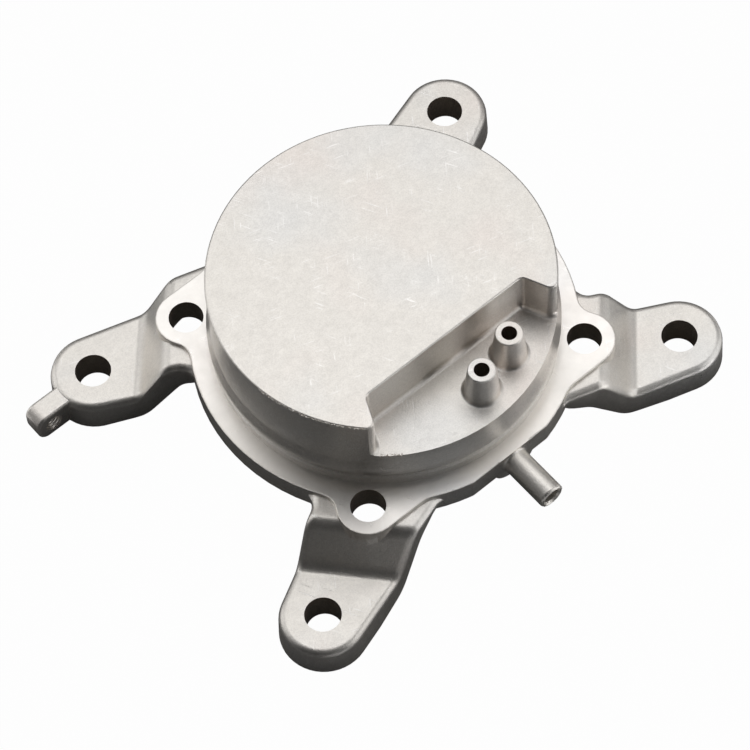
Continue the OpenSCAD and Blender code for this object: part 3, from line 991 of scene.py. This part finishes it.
SHEET_HEIGHT = -21.5 * MM
TENT = (
    Card("key_box", (-22.0, 112.0), (0.0, 1.5), (0.84, 1.24), 1.39),
    Card("key_skirt", (-22.0, 105.0), (0.84, 1.24), (1.06, 1.06), 0.95),
    Card("overhead_left", (112.0, 157.0), (0.4, 1.4), (1.06, 1.06), 0.65),
    Card("overhead_front", (225.0, 338.0), (0.0, 1.5), (0.9, 1.2), 0.13),
    Card("right_wall", (285.0, 345.0), (0.9, 1.2), (1.5, 0.0), 0.98),
    Card("right_end", (345.0, 375.0), (1.06, 1.06), (1.5, 0.0), 0.28),
    Card("back_wall", (15.0, 105.0), (1.06, 1.06), (1.4, 0.55), 0.6),
    Card("back_skirt", (15.0, 105.0), (1.4, 0.55), (1.5, 0.0), 0.14),
    Card("back_left_wall", (105.0, 135.0), (1.06, 1.06), (1.5, 0.0), 1.15),
    Card("left_end", (135.0, 165.0), (1.06, 1.06), (1.5, 0.0), 0.25),
    Card("front_right_sheet", (285.0, 312.0), (0.1, SHEET_HEIGHT), (0.35, SHEET_HEIGHT), 1.9),
    Card("right_front_sheet", (312.0, 345.0), (0.1, SHEET_HEIGHT), (0.35, SHEET_HEIGHT), 0.8),
    Card("front_sheet", (225.0, 285.0), (0.1, SHEET_HEIGHT), (0.35, SHEET_HEIGHT), 0.48),
    Card("left_sheet", (150.0, 225.0), (0.13, SHEET_HEIGHT), (0.35, SHEET_HEIGHT), 0.11),
    Card("back_left_sheet", (105.0, 150.0), (0.1, SHEET_HEIGHT), (0.35, SHEET_HEIGHT), 0.76),
    Card("right_sheet", (-15.0, 45.0), (0.1, SHEET_HEIGHT), (0.35, SHEET_HEIGHT), 0.19),
)


@dataclass
class Studio:
    """The floor, the light tent, the world and the camera."""

    floor_z: float = -22.72 * MM
    floor_size: float = 6.0
    floor_colour: tuple[float, float, float] = (0.12, 0.12, 0.12)
    camera_white: float = 0.985
    mirror_white: float = 0.01
    room_glow: float = 0.02
    eye: tuple[float, float, float] = (-277.766, -365.096, 797.980)
    target: tuple[float, float, float] = (-10.71, -8.87, 0.0)
    roll: float = math.radians(-4.03)
    lens: float = 173.5
    sensor: float = 36.0
    nearest: float = 0.01
    farthest: float = 50.0

    def build(self) -> None:
        """Builds the whole studio."""
        self.add_floor()
        self.add_world()
        for card in TENT:
            self.add_card(card)
        self.add_camera()

    def white_share(self, tree: bpy.types.NodeTree, direct: float) -> bpy.types.NodeSocket:
        """Adds up the share of plain white that a ray sees.

        Args:
            tree: The tree of the floor or of the world.
            direct: The share for the camera's own rays.

        Returns:
            The share, which metal and glass see too, at the strength of mirror_white.
        """
        path = tree.nodes.new("ShaderNodeLightPath")
        mirrored = math_node(tree, "ADD")
        tree.links.new(path.outputs["Is Glossy Ray"], mirrored.inputs[0])
        tree.links.new(path.outputs["Is Transmission Ray"], mirrored.inputs[1])
        dimmed = math_node(tree, "MULTIPLY", 0.0, self.mirror_white)
        tree.links.new(mirrored.outputs["Value"], dimmed.inputs[0])
        total = math_node(tree, "MULTIPLY_ADD", 0.0, direct)
        tree.links.new(path.outputs["Is Camera Ray"], total.inputs[0])
        tree.links.new(dimmed.outputs["Value"], total.inputs[2])
        return total.outputs["Value"]

    def add_floor(self) -> None:
        """Adds the floor, which looks white to the camera and keeps the casting's shadow."""
        half = self.floor_size / 2
        corners = [(x * half, y * half, self.floor_z) for x, y in ((-1, -1), (1, -1), (1, 1), (-1, 1))]
        mesh = bpy.data.meshes.new("studio_floor")
        mesh.from_pydata(corners, [], [(0, 1, 2, 3)])
        floor = bpy.data.objects.new("studio_floor", mesh)
        bpy.context.scene.collection.objects.link(floor)
        material = bpy.data.materials.new("pale_floor")
        material.use_nodes = True
        tree = material.node_tree
        tree.nodes.remove(tree.nodes["Principled BSDF"])
        matt = tree.nodes.new("ShaderNodeBsdfDiffuse")
        matt.inputs["Color"].default_value = (*self.floor_colour, OPAQUE)
        white = tree.nodes.new("ShaderNodeEmission")
        mix = tree.nodes.new("ShaderNodeMixShader")
        tree.links.new(self.white_share(tree, self.camera_white), mix.inputs["Fac"])
        tree.links.new(matt.outputs["BSDF"], mix.inputs[1])
        tree.links.new(white.outputs["Emission"], mix.inputs[2])
        tree.links.new(mix.outputs["Shader"], tree.nodes["Material Output"].inputs["Surface"])
        mesh.materials.append(material)

    def add_world(self) -> None:
        """Adds the world, white to the camera and a dim room to everything else."""
        world = bpy.data.worlds.new("studio_world")
        world.use_nodes = True
        bpy.context.scene.world = world
        tree = world.node_tree
        room = tree.nodes["Background"]
        room.inputs["Color"].default_value = (self.room_glow, self.room_glow, self.room_glow, OPAQUE)
        white = tree.nodes.new("ShaderNodeBackground")
        white.inputs["Color"].default_value = (1.0, 1.0, 1.0, 1.0)
        mix = tree.nodes.new("ShaderNodeMixShader")
        tree.links.new(self.white_share(tree, 1.0), mix.inputs["Fac"])
        tree.links.new(room.outputs["Background"], mix.inputs[1])
        tree.links.new(white.outputs["Background"], mix.inputs[2])
        tree.links.new(mix.outputs["Shader"], tree.nodes["World Output"].inputs["Surface"])

    def add_card(self, card: Card) -> None:
        """Adds one glowing card, which lights and is mirrored but isn't seen by the camera.

        Args:
            card: The card.
        """
        row = CARD_COLUMNS + 1
        faces = [(i, i + 1, i + row + 1, i + row) for i in range(CARD_COLUMNS)]
        mesh = bpy.data.meshes.new(card.name)
        mesh.from_pydata(card.points(CARD_COLUMNS), [], faces)
        material = bpy.data.materials.new(card.name)
        material.use_nodes = True
        tree = material.node_tree
        tree.nodes.remove(tree.nodes["Principled BSDF"])
        glow = tree.nodes.new("ShaderNodeEmission")
        glow.inputs["Strength"].default_value = card.radiance
        tree.links.new(glow.outputs["Emission"], tree.nodes["Material Output"].inputs["Surface"])
        mesh.materials.append(material)
        holder = bpy.data.objects.new(card.name, mesh)
        holder.visible_camera = False
        bpy.context.scene.collection.objects.link(holder)

    def add_camera(self) -> None:
        """Adds the camera at the photograph's viewing angle."""
        eye, target = Vector(self.eye) * MM, Vector(self.target) * MM
        ahead = (target - eye).normalized()
        right = ahead.cross(Vector((0.0, 0.0, 1.0))).normalized()
        up = right.cross(ahead)
        turned = right * math.cos(self.roll) + up * math.sin(self.roll)
        upright = up * math.cos(self.roll) - right * math.sin(self.roll)
        lens = bpy.data.cameras.new("camera")
        lens.sensor_width = self.sensor
        lens.lens = self.lens
        lens.clip_start = self.nearest
        lens.clip_end = self.farthest
        camera = bpy.data.objects.new("camera", lens)
        camera.matrix_world = Matrix((
            (turned.x, upright.x, -ahead.x, eye.x),
            (turned.y, upright.y, -ahead.y, eye.y),
            (turned.z, upright.z, -ahead.z, eye.z),
            (0.0, 0.0, 0.0, 1.0),
        ))
        bpy.context.scene.collection.objects.link(camera)
        bpy.context.scene.camera = camera


def main() -> None:
    """Builds and dresses the casting and sets up the studio."""
    logging.basicConfig(level=logging.INFO, format="%(name)s: %(message)s")
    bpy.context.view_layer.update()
    bpy.context.scene.view_settings.view_transform = "Standard"
    library = ShaderLibrary()
    finishes = [finish.build(library) for finish in (CAST_SKIN, MILLED_FACE, DRILLED_WALL)]
    Casting().build(finishes)
    EyeThread().build(finishes[Finish.MILLED.value])
    for burrs in BURRS:
        burrs.build(finishes)
    Studio().build()


if __name__ == "__main__":
    main()
